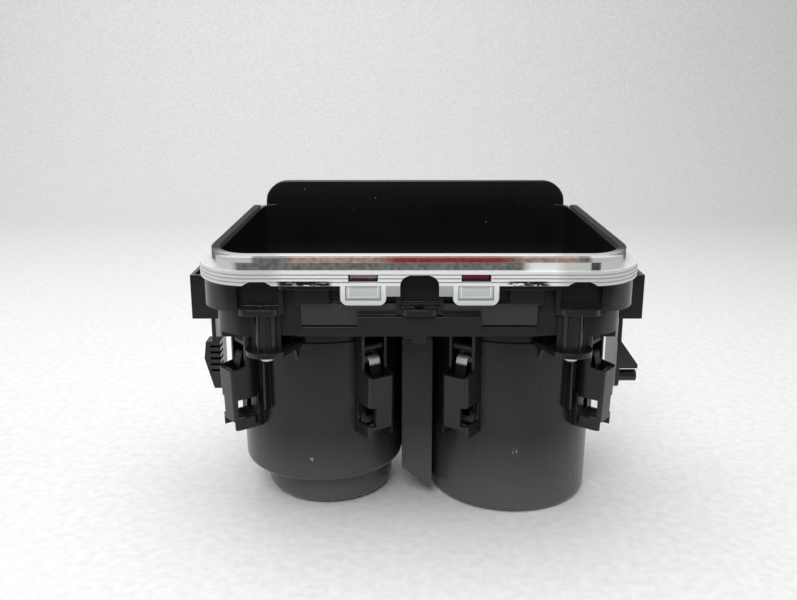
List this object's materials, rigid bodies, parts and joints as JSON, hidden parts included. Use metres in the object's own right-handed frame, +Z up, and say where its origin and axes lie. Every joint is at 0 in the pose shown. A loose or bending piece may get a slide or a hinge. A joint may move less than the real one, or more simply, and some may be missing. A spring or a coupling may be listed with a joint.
{
  "type": "car cup holder",
  "caption": "Twin console cup holder: deep tray over side-by-side cups with sprung fingers, a clear light guide round the front rim, side clips and screw tabs.",
  "frame": {"origin": "centre of the footprint on the plane of the cup bottoms", "axes": "+X across the car to the right as seen from the front, +Y to the raised back wall, +Z up out of the cups"},
  "size_m": [0.241, 0.14, 0.165],
  "materials": {
    "black_plastic": "satin moulded",
    "finger_plastic": "satin moulded",
    "clear_acrylic": "polished clear",
    "red_lens": "translucent red",
    "spring_steel": "rolled strip",
    "pin_steel": "ground",
    "screw_steel": "zinc plated",
    "circuit_board": "solder mask"
  },
  "bodies": {
    "holder": {"upper_tray": "black_plastic", "cup_housing": "black_plastic", "light_guide": "clear_acrylic", "light_bar": "red_lens", "left_light_board": "circuit_board", "right_light_board": "circuit_board", "joint_screws": "screw_steel", "left_inner_pin": "pin_steel", "left_inner_spring": "spring_steel", "left_outer_pin": "pin_steel", "left_outer_spring": "spring_steel", "left_rear_pin": "pin_steel", "left_rear_spring": "spring_steel", "right_inner_pin": "pin_steel", "right_inner_spring": "spring_steel", "right_outer_pin": "pin_steel", "right_outer_spring": "spring_steel", "right_rear_pin": "pin_steel", "right_rear_spring": "spring_steel"},
    "left_inner_finger": {"left_inner_finger": "finger_plastic"},
    "left_outer_finger": {"left_outer_finger": "finger_plastic"},
    "left_rear_finger": {"left_rear_finger": "finger_plastic"},
    "right_inner_finger": {"right_inner_finger": "finger_plastic"},
    "right_outer_finger": {"right_outer_finger": "finger_plastic"},
    "right_rear_finger": {"right_rear_finger": "finger_plastic"}
  },
  "joints": [
    {"name": "left_inner_swing", "type": "hinge", "parent": "holder", "child": "left_inner_finger", "pos_m": [-0.02409, -0.04014, 0.093], "axis": [-0.8192, -0.5736, 0], "range_deg": [0, 14], "stiffness_Nm_per_rad": 0.15, "springref_deg": -5.73, "deforming": ["left_inner_spring"]},
    {"name": "left_outer_swing", "type": "hinge", "parent": "holder", "child": "left_outer_finger", "pos_m": [-0.09081, -0.03017, 0.093], "axis": [-0.6157, 0.788, 0], "range_deg": [0, 14], "stiffness_Nm_per_rad": 0.15, "springref_deg": -5.73, "deforming": ["left_outer_spring"]},
    {"name": "left_rear_swing", "type": "hinge", "parent": "holder", "child": "left_rear_finger", "pos_m": [-0.04285, 0.0481, 0.093], "axis": [0.9816, -0.1908, 0], "range_deg": [0, 14], "stiffness_Nm_per_rad": 0.15, "springref_deg": -5.73, "deforming": ["left_rear_spring"]},
    {"name": "right_inner_swing", "type": "hinge", "parent": "holder", "child": "right_inner_finger", "pos_m": [0.02409, -0.04014, 0.093], "axis": [-0.8192, 0.5736, 0], "range_deg": [0, 14], "stiffness_Nm_per_rad": 0.15, "springref_deg": -5.73, "deforming": ["right_inner_spring"]},
    {"name": "right_outer_swing", "type": "hinge", "parent": "holder", "child": "right_outer_finger", "pos_m": [0.09081, -0.03017, 0.093], "axis": [-0.6157, -0.788, 0], "range_deg": [0, 14], "stiffness_Nm_per_rad": 0.15, "springref_deg": -5.73, "deforming": ["right_outer_spring"]},
    {"name": "right_rear_swing", "type": "hinge", "parent": "holder", "child": "right_rear_finger", "pos_m": [0.04285, 0.0481, 0.093], "axis": [0.9816, 0.1908, 0], "range_deg": [0, 14], "stiffness_Nm_per_rad": 0.15, "springref_deg": -5.73, "deforming": ["right_rear_spring"]}
  ]
}
